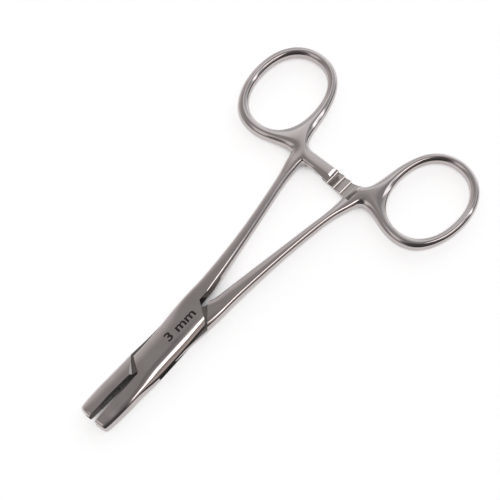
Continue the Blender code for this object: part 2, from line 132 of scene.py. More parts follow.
def ring_point(name, station, offset=0.0):
    power = 2 / RING_SQUARENESS
    angle = station * 2 * pi / RING_STATIONS
    half_length = (RING_HOLE_LENGTH + RING_HOLE_EXTRA[name]) / 2
    half_width = RING_HOLE_WIDTH / 2

    def outline(a):
        c, s = cos(a), sin(a)
        return Vector((half_length * abs(c) ** power * (1 if c > 0 else -1),
                       half_width * abs(s) ** power * (1 if s > 0 else -1)))

    step = radians(1)
    tangent = (outline(angle + step) - outline(angle - step)).normalized()
    point = outline(angle) + Vector((tangent.y, -tangent.x)) * offset
    point.rotate(Matrix.Rotation(RING_TILT[name], 2))
    return point + Vector((RING_REAR + half_length, RING_OFFSET))


def plan_ring(plan, name):
    """The finger ring with its web; returns the web's three points, from rear to front."""
    web = dict(zip(WEB_STATIONS[1:], (WEB_MIDDLE, WEB_OUTER)))
    first = -RING_STATIONS // 2
    hole, outer = {}, {}
    for k in range(first, first + RING_STATIONS):
        hole[k] = plan.point(*ring_point(name, k), RING_THICKNESS, RING_BEVEL)
        width = RING_BAR[name] + RING_SWELL.get(k, 0.0)
        place = web.get(k) or ring_point(name, k, width)
        bevel = SHANK_BEVEL if k in WEB_STATIONS else RING_BEVEL
        outer[k] = plan.point(*place, RING_THICKNESS, bevel)
    for k in hole:
        following = k + 1 if k + 1 in hole else first
        plan.quad(hole[k], hole[following], outer[following], outer[k])
    return [outer[k] for k in WEB_STATIONS]


SHANK_SWELL_START = -44.0 * MM
SHANK_SWELL_END = -14.0 * MM
SHANK_EDGES = {
    "box_branch": (
        (-64.0 * MM, 10.8 * MM, 6.15 * MM),
        (-59.0 * MM, 9.3 * MM, 6.0 * MM),
        (-51.5 * MM, 8.2 * MM, 4.95 * MM),
        (-41.5 * MM, 6.75 * MM, 3.35 * MM),
        (-31.5 * MM, 5.8 * MM, 1.9 * MM),
        (-22.5 * MM, 5.33 * MM, 0.7 * MM),
        (-17.5 * MM, 5.18 * MM, 0.2 * MM),
    ),
    "tongue_branch": (
        (-64.0 * MM, 10.3 * MM, 5.8 * MM),
        (-59.0 * MM, 8.53 * MM, 5.75 * MM),
        (-51.5 * MM, 7.62 * MM, 4.6 * MM),
        (-41.5 * MM, 6.72 * MM, 3.42 * MM),
        (-31.5 * MM, 6.18 * MM, 2.17 * MM),
        (-22.5 * MM, 5.88 * MM, 1.12 * MM),
        (-17.5 * MM, 5.83 * MM, 0.6 * MM),
    ),
}


def plan_shank(plan, name, row):
    """The shank, which swells in thickness towards the box; returns its last row."""
    swell_length = SHANK_SWELL_END - SHANK_SWELL_START
    for x, outer, inner in SHANK_EDGES[name]:
        share = max(0.0, min(1.0, (x - SHANK_SWELL_START) / swell_length))
        share = share * share * (3 - 2 * share)
        thickness = SHANK_THICKNESS + (BOX_THICKNESS - SHANK_THICKNESS) * share
        bevel = SHANK_BEVEL + (BOX_CROWN / 2 - SHANK_BEVEL) * share
        following = [plan.point(x, outer, thickness, SHANK_BEVEL, CRISP),
                     plan.point(x, inner, thickness, bevel, CRISP)]
        plan.strip(row, following)
        row = following
    return row


ARM_REAR = {"box_branch": -70.5 * MM, "tongue_branch": -71.1 * MM}
ARM_FRONT = -65.7 * MM
ARM_ROOT = 7.6 * MM
ARM_FILLET = 2.6 * MM
ARM_OVERLAP = {"box_branch": 3.1 * MM, "tongue_branch": 4.0 * MM}
ARM_STATIONS = 5
ARM_EDGE = 0.5 * MM
ARM_FLARE = 0.1 * MM
ARM_REAR_FILLET = 1.4 * MM
ARM_REAR_BEVEL = 0.8 * MM
ARM_FRONT_FILLET = 0.2 * MM
ARM_FRONT_BEVEL = 0.7 * MM
ARM_END_STOCK = {"box_branch": 3.0 * MM, "tongue_branch": 0.0}


def plan_arm(plan, name, web):
    """The ratchet arm across the centre line; returns the corner where the shank starts."""
    rear, middle = ARM_REAR[name], (ARM_REAR[name] + ARM_FRONT) / 2
    shank_inner = SHANK_EDGES[name][0][2]
    row = [plan.point(rear - ARM_FLARE, ARM_ROOT + ARM_REAR_FILLET, SHANK_THICKNESS,
                      ARM_REAR_BEVEL),
           plan.point(middle, ARM_ROOT, SHANK_THICKNESS),
           plan.point(ARM_FRONT - ARM_FLARE, shank_inner + ARM_FRONT_FILLET, SHANK_THICKNESS,
                      ARM_FRONT_BEVEL, CRISP)]
    corner = row[2]
    plan.strip(web, row)
    start = ARM_ROOT - ARM_FILLET
    length = start + ARM_OVERLAP[name] + ARM_END_STOCK[name]
    for k in range(ARM_STATIONS):
        v = start - length * k / (ARM_STATIONS - 1)
        following = [plan.point(x, v, SHANK_THICKNESS, ARM_EDGE, CRISP)
                     for x in (rear, middle, ARM_FRONT)]
        plan.strip(row, following)
        row = following
    return corner


CHEEK_REAR = 12.5 * MM
CHEEK_ANGLE = radians(54.5)
TONGUE_REACH = 13.6 * MM
TONGUE_ANGLE = radians(28)
SHOULDER_STOCK = 1.8 * MM
NECK_OFFSET = {"box_branch": -0.1 * MM, "tongue_branch": 0.3 * MM}
BOX_EDGES = {
    "box_branch": (
        (-8.5 * MM, 0.23 * MM, 0.25 * MM),
        (-4.0 * MM, 0.05 * MM, 0.4 * MM),
        (0.0, -0.17 * MM, 0.45 * MM),
        (6.0 * MM, -0.45 * MM, 0.4 * MM),
        (12.0 * MM, -0.2 * MM, 0.35 * MM),
    ),
    "tongue_branch": (
        (-8.5 * MM, 0.6 * MM, -0.15 * MM),
        (-4.0 * MM, 0.25 * MM, -0.15 * MM),
        (0.0, 0.15 * MM, -0.3 * MM),
        (6.0 * MM, 0.05 * MM, -0.35 * MM),
        (12.0 * MM, 0.05 * MM, -0.15 * MM),
    ),
}
SLANTED_STATIONS = 3
CENTRE_SLANT = 0.3
NECK_BEVEL = 0.4 * MM
BOX_REAR_EDGE = {"box_branch": 0.2 * MM, "tongue_branch": 0.8 * MM}
JAW_ROOT = 12.0 * MM
JAW_TIP_THICKNESS = 4.6 * MM
JAW_TIP_SHARE = 0.8
JAW_EDGES = (
    (0.26, 0.0, 0.4 * MM, 2.4 * MM),
    (0.58, 0.1 * MM, 0.43 * MM, 2.4 * MM),
    (0.83, 0.55 * MM, 0.68 * MM, 2.0 * MM),
    (0.95, 0.8 * MM, 0.97 * MM, 1.2 * MM),
    (1.0, 1.5 * MM, 1.6 * MM, 0.5 * MM),
)
JAW_SIDE = (0.75 * MM, 0.15, 0.3)
JAW_BEVEL = 1.6 * MM


def rear_line(name):
    """Reach and angle of the oblique edge behind the pin, which the rear notch leaves."""
    if name == "box_branch":
        return CHEEK_REAR, CHEEK_ANGLE
    return TONGUE_REACH, TONGUE_ANGLE


def plan_box_and_jaw(plan, name, row):
    """The crossing part, whose rear edge slants, and the bar of full width for the jaw."""
    reach, angle = rear_line(name)
    neck = NECK_OFFSET[name]
    half = BOX_WIDTH / 2
    jaw_edge = half + BOX_EDGES[name][0][2]
    slant = (jaw_edge + neck) / tan(angle) - BOX_CROWN
    rear = -reach - SHOULDER_STOCK
    following = [plan.point(rear, half + BOX_REAR_EDGE[name], BOX_THICKNESS, SHANK_BEVEL, CRISP),
                 plan.point(rear, neck, BOX_THICKNESS, NECK_BEVEL, CRISP)]
    plan.strip(row, following)
    row = following + [plan.point(rear + slant, -jaw_edge, BOX_THICKNESS, BOX_CROWN)]
    last_slanted = BOX_EDGES[name][SLANTED_STATIONS][0]
    for x, own, other in BOX_EDGES[name]:
        shift = slant * max(0.0, (last_slanted - x) / (last_slanted - rear))
        edge = (SHANK_BEVEL, CRISP) if x < -half else (BOX_CROWN, ROUND)
        following = [plan.point(x, half + own, BOX_THICKNESS, *edge),
                     plan.point(x + shift * CENTRE_SLANT, 0.0, BOX_THICKNESS),
                     plan.point(x + shift, -half - other, BOX_THICKNESS, BOX_CROWN)]
        plan.strip(row, following)
        row = following
    for share, box_inset, tongue_inset, bevel in JAW_EDGES:
        jaw = half - (box_inset if name == "box_branch" else tongue_inset)
        thickness = JAW_TIP_THICKNESS if share > JAW_TIP_SHARE else BOX_THICKNESS
        x = JAW_ROOT + share * (JAW_LENGTH - JAW_ROOT)
        centre_bevel = bevel if share == 1.0 else 0.0
        edge = (JAW_BEVEL, JAW_SIDE) if name == "box_branch" and share < 1.0 else (bevel, ROUND)
        following = [plan.point(x, jaw, thickness, bevel),
                     plan.point(x, 0.0, thickness, centre_bevel),
                     plan.point(x, -jaw, thickness, *edge)]
        plan.strip(row, following)
        row = following


def forged_mesh(name):
    """The plan thickened to a closed cage of quads, with its sides bevelled."""
    plan = Plan()
    web = plan_ring(plan, name)
    corner = plan_arm(plan, name, web)
    row = plan_shank(plan, name, [web[-1], corner])
    plan_box_and_jaw(plan, name, row)
    side = SIDE[name]
    normals = plan.normals()
    border = plan.border()
    bm = bmesh.new()
    sharpness = bm.edges.layers.float.new("crease_edge")

    def vert(i, inset, z):
        place = plan.points[i][0] - normals[i] * inset if i in normals else plan.points[i][0]
        return bm.verts.new((place.x, side * place.y, z))

    middle = {i: vert(i, 0.0, 0.0) for i in border}
    for sign in (1, -1):
        face, corner = {}, {}
        for i, (_, half, bevel, (inset, depth, _)) in enumerate(plan.points):
            face[i] = vert(i, bevel, sign * half)
            if i in border:
                corner[i] = vert(i, inset, sign * half * (1 - depth))
        for quad in plan.quads:
            bm.faces.new([face[i] for i in quad])
        for a, b in border.items():
            bm.faces.new((face[a], corner[a], corner[b], face[b]))
            bm.faces.new((corner[a], middle[a], middle[b], corner[b]))
            sharp = min(plan.points[i][3][2] for i in (a, b))
            bm.edges.get((corner[a], corner[b]))[sharpness] = sharp
    bmesh.ops.recalc_face_normals(bm, faces=bm.faces)
    mesh = bpy.data.meshes.new(name + "_forging")
    bm.to_mesh(mesh)
    bm.free()
    return mesh


class Wire:
    """A value on its way through a node tree; sums on it add the nodes that work them out."""

    def __init__(self, board, socket):
        self.board = board
        self.socket = socket

    def math(self, operation, *others, **settings):
        sockets = dict(enumerate((self, *others)))
        return self.board.add("ShaderNodeMath", {"operation": operation, **settings}, sockets)[0]

    def __add__(self, other):
        return self.math("ADD", other)

    def __sub__(self, other):
        return self.math("SUBTRACT", other)

    def __mul__(self, other):
        return self.math("MULTIPLY", other)

    def __truediv__(self, other):
        return self.math("DIVIDE", other)

    def __rsub__(self, other):
        return self.math("MULTIPLY", -1.0).math("ADD", other)

    __radd__ = __add__
    __rmul__ = __mul__

    def clamped(self):
        return self.math("ADD", 0.0, use_clamp=True)

    def rise(self, low, high):
        """0 below low, 1 above high and smooth between, or the other way round if low is larger."""
        return self.board.add("ShaderNodeMapRange", {"interpolation_type": "SMOOTHSTEP"},
                              {"Value": self, "From Min": low, "From Max": high})[0]


class Board:
    """A node tree of a material, the world or a modifier, and the way to put a node on it."""

    def __init__(self, tree):
        self.tree = tree

    def add(self, kind, settings=None, sockets=None):
        node = self.tree.nodes.new(kind)
        for key, value in (settings or {}).items():
            setattr(node, key, value)
        for key, value in (sockets or {}).items():
            self.join(value, node.inputs[key])
        return [Wire(self, socket) for socket in node.outputs if socket.enabled]

    def join(self, value, socket):
        if isinstance(value, Wire):
            self.tree.links.new(value.socket, socket)
        else:
            socket.default_value = value

    def place(self):
        """The place on the piece itself, which is the coordinate node's fourth output."""
        return self.add("ShaderNodeTexCoord")[3]

    def mix(self, share, low, high):
        """A colour between two colours, the node's seventh and eighth sockets."""
        return self.add("ShaderNodeMix", {"data_type": "RGBA"},
                        {"Factor": share, 6: low, 7: high})[0]


def new_board(name):
    """A new material's board, emptied, and the material."""
    material = bpy.data.materials.new(name)
    material.use_nodes = True
    material.node_tree.nodes.clear()
    return material, Board(material.node_tree)


SMUDGE_RANGE = (0.35, 0.7)
ROUGHNESS_SPREAD = 0.06
LINE_DEPTH = 0.02 * MM
WAVE_DEPTH = 0.06 * MM
WAVE_STRENGTH = 0.3


def steel(name, colour, tint, roughness, lines, grain):
    """Stainless steel with smudges, and with fine grinding lines along or across the piece."""
    material, board = new_board(name)
    place = board.place()
    smudge = board.add("ShaderNodeTexNoise", {}, {"Vector": place, "Scale": 140.0,
                                                  "Detail": 3.0})[0]
    wave = board.add("ShaderNodeTexNoise", {}, {"Vector": place, "Scale": 90.0, "Detail": 1.0})[0]
    stretched = board.add("ShaderNodeMapping", {}, {"Vector": place, "Scale": grain})[0]
    scratch = board.add("ShaderNodeTexNoise", {}, {"Vector": stretched, "Scale": 1.0,
                                                   "Detail": 4.0, "Roughness": 0.6})[0]
    base = board.mix(smudge.rise(*SMUDGE_RANGE), (*colour, 1), (*tint, 1))
    rough = (roughness + (smudge - 0.5) * ROUGHNESS_SPREAD
             + (scratch - 0.5) * ROUGHNESS_SPREAD).clamped()
    relief = board.add("ShaderNodeBump", {}, {"Strength": lines, "Distance": LINE_DEPTH,
                                              "Height": scratch})[0]
    relief = board.add("ShaderNodeBump", {}, {"Strength": WAVE_STRENGTH, "Distance": WAVE_DEPTH,
                                              "Height": wave, "Normal": relief})[0]
    shader = board.add("ShaderNodeBsdfPrincipled", {}, {"Base Color": base, "Metallic": 1.0,
                                                        "Roughness": rough, "Normal": relief})[0]
    board.add("ShaderNodeOutputMaterial", {}, {"Surface": shader})
    return material


polished_steel = steel("polished_steel", colour=(0.67, 0.62, 0.61), tint=(0.62, 0.57, 0.56),
                       roughness=0.08, lines=0.06, grain=(60.0, 1800.0, 900.0))
milled_steel = steel("milled_steel", colour=(0.6, 0.56, 0.54), tint=(0.53, 0.49, 0.47),
                     roughness=0.2, lines=0.35, grain=(120.0, 2600.0, 2600.0))
# The walls of the notches, the slot and the channel and the tongue's milled faces: steel painted
# far darker than the polished steel, as painted shade for the little light that gets in there.
inner_steel = steel("inner_steel", colour=(0.32, 0.295, 0.28), tint=(0.25, 0.23, 0.215),
                    roughness=0.36, lines=0.4, grain=(200.0, 2400.0, 2400.0))

FORGING_SMOOTHNESS = 3

branches = {}
for name in SIDE:
    blank = bpy.data.objects.new(name + "_blank", forged_mesh(name))
    bpy.context.scene.collection.objects.link(blank)
    blank.data.materials.append(polished_steel)
    blank.data.shade_smooth()
    forging = blank.modifiers.new("forging", "SUBSURF")
    forging.levels = FORGING_SMOOTHNESS
    forging.render_levels = FORGING_SMOOTHNESS
    branches[name] = blank

# The ratchet. The arms are milled down to half their thickness where they lie on each other, and
# a row of valleys is cut across each: on top of the lower arm, underneath the upper one. The upper
# arm is also ground to a slope at its end and along its front edge.

OVERCUT = 2.0 * MM
TOOTH_START = 4.2 * MM
TOOTH_PITCH = 2.5 * MM
TOOTH_HEIGHT = 0.6 * MM
TOOTH_CREST = 0.5 * MM
TOOTH_EDGE = 0.28 * MM
TOOTH_EDGE_DROP = 0.09 * MM
TOOTH_EDGE_RUN = 0.4
TOOTH_GAP = 0.25 * MM
VALLEY_FLOOR = (0.25 * MM, 0.12 * MM)
VALLEY_LIFT = 0.05 * MM
RACK_REACH = 0.8 * MM
RACK_RUNOUT = {"box_branch": 1.0 * MM, "tongue_branch": 3.0 * MM}
RUNOUT_START = 1.25
RUNOUT_CURVE = 2.2
RUNOUT_LIFT = 0.02 * MM
RUNOUT_STEPS = 12
ARM_END_SLOPE = 0.85 * MM
ARM_END_DROP = 0.27 * MM
ARM_END_DRAFT = 0.05 * MM
ARM_SIDE_START = 0.35 * MM
ARM_SIDE_SLOPE = 1.9 * MM
ARM_SIDE_FOOT = 0.3 * MM


def loft(sections):
    """A closed solid through sections with the same number of points."""
    bm = bmesh.new()
    rings = [[bm.verts.new(point) for point in section] for section in sections]
    bm.faces.new(reversed(rings[0]))
    bm.faces.new(rings[-1])
    for low, high in zip(rings, rings[1:]):
        for i in range(len(low)):
            bm.faces.new((low[i - 1], low[i], high[i], high[i - 1]))
    bmesh.ops.recalc_face_normals(bm, faces=bm.faces)
    return bm


def tool_object(name, bm, *finishes):
    mesh = bpy.data.meshes.new(name)
    bm.to_mesh(mesh)
    bm.free()
    for finish in finishes:
        mesh.materials.append(finish)
    tool = bpy.data.objects.new(name, mesh)
    bpy.context.scene.collection.objects.link(tool)
    return tool


def cut(blank, tool):
    """Cuts a tool out of the blank; the cut faces take the tool's finish."""
    tool.hide_render = True
    modifier = blank.modifiers.new(tool.name, "BOOLEAN")
    modifier.operation = "DIFFERENCE"
    modifier.material_mode = "TRANSFER"
    modifier.object = tool


def row_tree():
    """A node tree that sets a cutter in a row and joins the copies into one solid."""
    tree = bpy.data.node_groups.new("milling_row", "GeometryNodeTree")
    for label, kind in (("Cutter", "NodeSocketObject"), ("Passes", "NodeSocketInt"),
                        ("First pass", "NodeSocketVector"), ("Step", "NodeSocketVector"),
                        ("Finish", "NodeSocketMaterial")):
        tree.interface.new_socket(label, in_out="INPUT", socket_type=kind)
    tree.interface.new_socket("Geometry", in_out="OUTPUT", socket_type="NodeSocketGeometry")
    board = Board(tree)
    cutter, passes, first, step, finish = board.add("NodeGroupInput")[:5]
    line = board.add("GeometryNodeMeshLine", {"mode": "OFFSET"},
                     {"Count": passes, "Start Location": first, "Offset": step})[0]
    shape = board.add("GeometryNodeObjectInfo", {}, {"Object": cutter})[-1]
    copies = board.add("GeometryNodeInstanceOnPoints", {}, {"Points": line, "Instance": shape})[0]
    joined = board.add("GeometryNodeRealizeInstances", {}, {"Geometry": copies})[0]
    finished = board.add("GeometryNodeSetMaterial", {}, {"Geometry": joined, "Material": finish})[0]
    board.add("NodeGroupOutput", {}, {"Geometry": finished})
    return tree


def set_inputs(modifier, values):
    """Sets a modifier's named inputs by the identifiers of their sockets."""
    for item in modifier.node_group.interface.items_tree:
        if item.item_type == "SOCKET" and item.name in values:
            modifier[item.identifier] = values[item.name]


def plain_copy(name, source):
    """What an object's modifiers make of it, as a new plain object."""
    graph = bpy.context.evaluated_depsgraph_get()
    mesh = bpy.data.meshes.new_from_object(source.evaluated_get(graph))
    copy = bpy.data.objects.new(name, mesh)
    bpy.context.scene.collection.objects.link(copy)
    return copy


milling_row = row_tree()
for name, blank in branches.items():
    side = SIDE[name]
    up = 1 if name == "tongue_branch" else -1
    crest = -TOOTH_GAP / 2
    trough = crest - TOOTH_HEIGHT
    end = -ARM_OVERLAP[name] - OVERCUT
    arm_sides = (ARM_REAR[name] - OVERCUT, ARM_FRONT + RACK_REACH)
    height = SHANK_THICKNESS / 2 + RUNOUT_LIFT - crest
    runout = []
    for k in range(RUNOUT_STEPS + 1):
        share = k / RUNOUT_STEPS
        runout.append((TOOTH_START + RACK_RUNOUT[name] * (RUNOUT_START - share),
                       crest + height * (1 - share) ** RUNOUT_CURVE))
    bed = [(runout[0][0], SHANK_THICKNESS), *runout, (end, crest), (end, SHANK_THICKNESS)]
    cut(blank, tool_object(name + "_bed", loft(
        [[(x, side * v, up * z) for v, z in bed] for x in arm_sides]), milled_steel))

    valley = [(TOOTH_PITCH - TOOTH_CREST, crest + VALLEY_LIFT),
              *((v, trough) for v in VALLEY_FLOOR), (0.0, crest - TOOTH_EDGE_DROP),
              (-(1 + TOOTH_EDGE_RUN) * TOOTH_EDGE, crest + TOOTH_EDGE_RUN * TOOTH_EDGE_DROP)]
    shape = tool_object(name + "_valley", loft(
        [[(x, side * v, up * z) for v, z in valley] for x in arm_sides]), milled_steel)
    passes = int((TOOTH_START + ARM_OVERLAP[name]) / TOOTH_PITCH) + 1
    rig = tool_object(name + "_passes", bmesh.new(), milled_steel)
    row = rig.modifiers.new("row", "NODES")
    row.node_group = milling_row
    set_inputs(row, {"Cutter": shape, "Passes": passes,
                     "First pass": (0.0, side * TOOTH_START, 0.0),
                     "Step": (0.0, -side * TOOTH_PITCH, 0.0), "Finish": milled_steel})
    cut(blank, plain_copy(name + "_valleys", rig))
    bpy.data.objects.remove(rig)
    shape.hide_render = True


def facet_tool(name, start, end, lower):
    """Takes off what lies outside a plane through a facet's two upper ends and a lower point."""
    start, end, lower = Vector(start), Vector(end), Vector(lower)
    along = (end - start).normalized()
    down = lower - start
    down = (down - along * down.dot(along)).normalized()
    outward = along.cross(down)
    if (start.z > 0) != (outward.z > 0):
        outward.negate()
    size = 2 * OVERCUT
    return tool_object(name, loft([[place - down * size, place + down * size,
                                    place + down * size + outward * size,
                                    place - down * size + outward * size]
                                   for place in (start, end)]), polished_steel)


arm_end = ARM_OVERLAP["box_branch"]
arm_top = SHANK_THICKNESS / 2
cut(branches["box_branch"], facet_tool(
    "arm_side_facet", (ARM_FRONT - ARM_SIDE_START, ARM_FILLET - ARM_ROOT, arm_top),
    (ARM_FRONT - ARM_SIDE_SLOPE, arm_end + OVERCUT, arm_top),
    (ARM_FRONT, arm_end, ARM_SIDE_FOOT)))
arm_sides = (ARM_REAR["box_branch"] - OVERCUT, ARM_FRONT + OVERCUT)
cut(branches["box_branch"], facet_tool(
    "arm_end", *((x, arm_end, arm_top) for x in arm_sides),
    (ARM_FRONT, arm_end + ARM_END_DRAFT, -arm_top)))
cut(branches["box_branch"], facet_tool(
    "arm_end_facet", *((x, arm_end - ARM_END_SLOPE, arm_top) for x in arm_sides),
    (ARM_FRONT, arm_end, arm_top - ARM_END_DROP)))

# The box joint and the jaws. Notches leave the two jaws and the oblique shoulders; a slot through
# the box branch takes the tongue, which is milled thin on both faces. Each jaw has a flat face
# with half of a round channel, ball-ended, that holds a ring or a bead.

CHEEK_FRONT = 13.6 * MM
CHEEK_FACET = 0.4 * MM
TONGUE_THICKNESS = 1.9 * MM
TONGUE_CLEARANCE = 0.3 * MM
SHOULDER_FRONT_GAP = 0.5 * MM
SHOULDER_REAR_GAP = 0.2 * MM
SHOULDER_FRONT_ANGLE = radians(50)
SHOULDER_REAR_ANGLE = radians(44)
SLOT_REACH = 16.5 * MM
SLOT_SIDE_REACH = 10.2 * MM
SLOT_SIDE_SHARE = 0.56
SLOT_CORNER = 1.0 * MM
SLOT_REAR_CORNER = 1.1 * MM
SLOT_REAR_START = 0.15 * MM
SLOT_FRONT_START = 0.5 * MM
SHOULDER_CHAMFER = 0.7 * MM
SHOULDER_CHAMFER_DEPTH = 0.4 * MM
EDGE_CHAMFER = {"box_branch": 0.15 * MM, "tongue_branch": 0.4 * MM}
NECK_WALL = {"box_branch": (0.2 * MM, 1.05 * MM, -22.5 * MM),
             "tongue_branch": (0.2 * MM, 0.4 * MM, -17.6 * MM)}
NECK_SPREAD = {"box_branch": 0.4 * MM, "tongue_branch": -0.3 * MM}
NECK_BAND = 0.3 * MM
JAW_PLANE = -0.2 * MM
JAW_CLEARANCE = 0.1 * MM
CHANNEL_DIAMETER = 3.0 * MM
CHANNEL_LENGTH = 12.5 * MM
PIN_DIAMETER = 4.0 * MM
PIN_SEAM = 0.015 * MM
CHAMFER_STEEPNESS = (0.3, 0.9)


def stepped_tool(name, sections):
    """A solid through level sections: its walls are left as milled and take the steel darkened with
    painted shade, its chamfers polished.
    """
    bm = loft(sections)
    low, high = CHAMFER_STEEPNESS
    for face in bm.faces:
        face.material_index = 1 if low < abs(face.normal.z) < high else 0
    return tool_object(name, bm, inner_steel, polished_steel)


def prism_tool(name, outline, levels):
    """A solid over a convex outline, each level given as its height and how far it is grown."""
    points = [Vector(p) for p in outline]
    if sum(p.cross(q) for p, q in zip(points, points[1:] + points[:1])) < 0:
        points.reverse()
    corners = zip(points[-1:] + points[:-1], points, points[1:] + points[:1])
    normals = [mitre(*corner) for corner in corners]
    return stepped_tool(name, [[(*(p + n * grown), z) for p, n in zip(points, normals)]
                               for z, grown in levels])


def notch_tool(name, place, outline):
    """Goes right through the branch and chamfers what it leaves; the outline is (x, v)."""
    chamfer = EDGE_CHAMFER[name]
    face = BOX_THICKNESS / 2
    levels = [(-face - OVERCUT, chamfer + OVERCUT), (-face + chamfer, 0.0),
              (face - chamfer, 0.0), (face + OVERCUT, chamfer + OVERCUT)]
    turned = [(x, SIDE[name] * v) for x, v in outline]
    return prism_tool(f"{name}_{place}_notch", turned, levels)


def jaw_face(name):
    """Distance of the branch's gripping face from the centre line, towards its own ring."""
    return SIDE[name] * JAW_PLANE - JAW_CLEARANCE / 2


# The channel's walls take the steel painted dark as shade.
def channel_tool(name):
    bm = bmesh.new()
    radius = CHANNEL_DIAMETER / 2
    turn = Matrix.Rotation(pi / 2, 4, "Y")
    bmesh.ops.create_uvsphere(bm, u_segments=64, v_segments=32, radius=radius, matrix=turn)
    front = [vert for vert in bm.verts if vert.co.x > radius / 100]
    bmesh.ops.delete(bm, geom=front, context="VERTS")
    rim = [edge for edge in bm.edges if edge.is_boundary]
    tube = bmesh.ops.extrude_edge_only(bm, edges=rim)["geom"]
    moved = [item for item in tube if isinstance(item, bmesh.types.BMVert)]
    bmesh.ops.translate(bm, verts=moved, vec=(CHANNEL_LENGTH + OVERCUT, 0, 0))
    bmesh.ops.contextual_create(bm, geom=[edge for edge in bm.edges if edge.is_boundary])
    start = JAW_LENGTH - CHANNEL_LENGTH + radius
    bmesh.ops.translate(bm, verts=bm.verts, vec=(start, JAW_PLANE, 0))
    bmesh.ops.recalc_face_normals(bm, faces=bm.faces)
    return tool_object(name, bm, inner_steel)


def pin_tool(name, radius):
    bm = bmesh.new()
    bmesh.ops.create_cone(bm, segments=128, cap_ends=True, radius1=radius, radius2=radius,
                          depth=BOX_THICKNESS + OVERCUT)
    return tool_object(name, bm, polished_steel)


for name, blank in branches.items():
    reach, angle = rear_line(name)
    root = CHEEK_FRONT if name == "box_branch" else TONGUE_REACH
    tip = JAW_LENGTH + OVERCUT
    lean = BOX_WIDTH / tan(angle)
    cut(blank, notch_tool(name, "front", [(root, jaw_face(name)), (tip, jaw_face(name)),
                                          (tip, BOX_WIDTH), (root - lean, BOX_WIDTH)]))
    middle, top, back = NECK_WALL[name]
    levels = []
    face = BOX_THICKNESS / 2
    slope = (top - middle) / (face - NECK_BAND)
    for z in (-face - OVERCUT, -NECK_BAND, NECK_BAND, face + OVERCUT):
        wall = middle + slope * (abs(z) - NECK_BAND)
        outline = [(-reach - (wall - NECK_OFFSET[name]) / tan(angle), wall),
                   (back, wall + NECK_SPREAD[name]), (back, -BOX_WIDTH),
                   (-reach + (BOX_WIDTH + NECK_OFFSET[name]) / tan(angle), -BOX_WIDTH)]
        levels.append([(x, SIDE[name] * v, z) for x, v in outline])
    # The rear notch's walls take the steel painted dark as shade.
    cut(blank, tool_object(name + "_rear_notch", loft(levels), inner_steel))

slot_half = TONGUE_THICKNESS / 2 + TONGUE_CLEARANCE
far = BOX_WIDTH * SLOT_SIDE_SHARE
cut(branches["box_branch"], prism_tool(
    "slot", [(-SLOT_REACH, SLOT_REAR_START), (-SLOT_SIDE_REACH - SLOT_REAR_CORNER, -far),
             (SLOT_REACH - SLOT_CORNER, -far), (SLOT_REACH, JAW_PLANE - SLOT_FRONT_START),
             (SLOT_SIDE_REACH, far), (-SLOT_REACH + SLOT_CORNER, far)],
    [(-slot_half, 0.0), (slot_half, 0.0)]))

edge = BOX_WIDTH / 2
cheek_front = (CHEEK_FRONT - edge / tan(CHEEK_ANGLE)
               + SHOULDER_FRONT_GAP / sin(SHOULDER_FRONT_ANGLE))
cheek_rear = (-CHEEK_REAR + (edge + NECK_OFFSET["box_branch"]) / tan(CHEEK_ANGLE)
              - SHOULDER_REAR_GAP / sin(SHOULDER_REAR_ANGLE))
low, high = -BOX_WIDTH, BOX_WIDTH
lap = [(cheek_front + (low + edge) / tan(SHOULDER_FRONT_ANGLE), low),
       (cheek_front + (high + edge) / tan(SHOULDER_FRONT_ANGLE), high),
       (cheek_rear + (high - edge) / tan(SHOULDER_REAR_ANGLE), high),
       (cheek_rear + (low - edge) / tan(SHOULDER_REAR_ANGLE), low)]
face = BOX_THICKNESS / 2
for place, up in (("upper", 1), ("lower", -1)):
    sections = []
    for z, opened in ((TONGUE_THICKNESS / 2, 0.0), (face - SHOULDER_CHAMFER_DEPTH, 0.0),
                      (face, SHOULDER_CHAMFER), (face + OVERCUT, SHOULDER_CHAMFER)):
        shift = opened / sin(SHOULDER_FRONT_ANGLE)
        front = [(x + shift, y, up * z) for x, y in lap[:2]]
        sections.append(front + [(x, y, up * z) for x, y in lap[2:]])
    cut(branches["tongue_branch"], stepped_tool(place + "_lap", sections))

for name, blank in branches.items():
    cut(blank, channel_tool(name + "_channel"))
    cut(blank, pin_tool(name + "_pin_hole", PIN_DIAMETER / 2 + PIN_SEAM))

side = SIDE["box_branch"]
along = Vector((-cos(CHEEK_ANGLE), side * sin(CHEEK_ANGLE)))
outward = Vector((sin(CHEEK_ANGLE), side * cos(CHEEK_ANGLE)))
start = Vector((CHEEK_FRONT, side * jaw_face("box_branch"))) - outward * CHEEK_FACET
stop = start + along * BOX_WIDTH
for place, up in (("upper", 1), ("lower", -1)):
    face = up * BOX_THICKNESS / 2
    cut(branches["box_branch"], facet_tool(
        f"{place}_cheek_facet", (*start, face), (*stop, face),
        (*(start + outward * CHEEK_FACET), face - up * CHEEK_FACET)))

BODY = {"box_branch": "box_side", "tongue_branch": "tongue_side"}
FORGING_EDGE_ANGLE = radians(28)
FACET_EDGE_ANGLE = radians(10)
FACET_AREA = 0.5 * MM * MM


def sharpen_facets(mesh):
    """Keeps the edges round the large ground facets sharp where they are shallow."""
    bm = bmesh.new()
    bm.from_mesh(mesh)
    for edge in bm.edges:
        if edge.is_manifold and edge.calc_face_angle() > FACET_EDGE_ANGLE:
            if any(face.calc_area() > FACET_AREA for face in edge.link_faces):
                edge.smooth = False
    bm.to_mesh(mesh)
    bm.free()


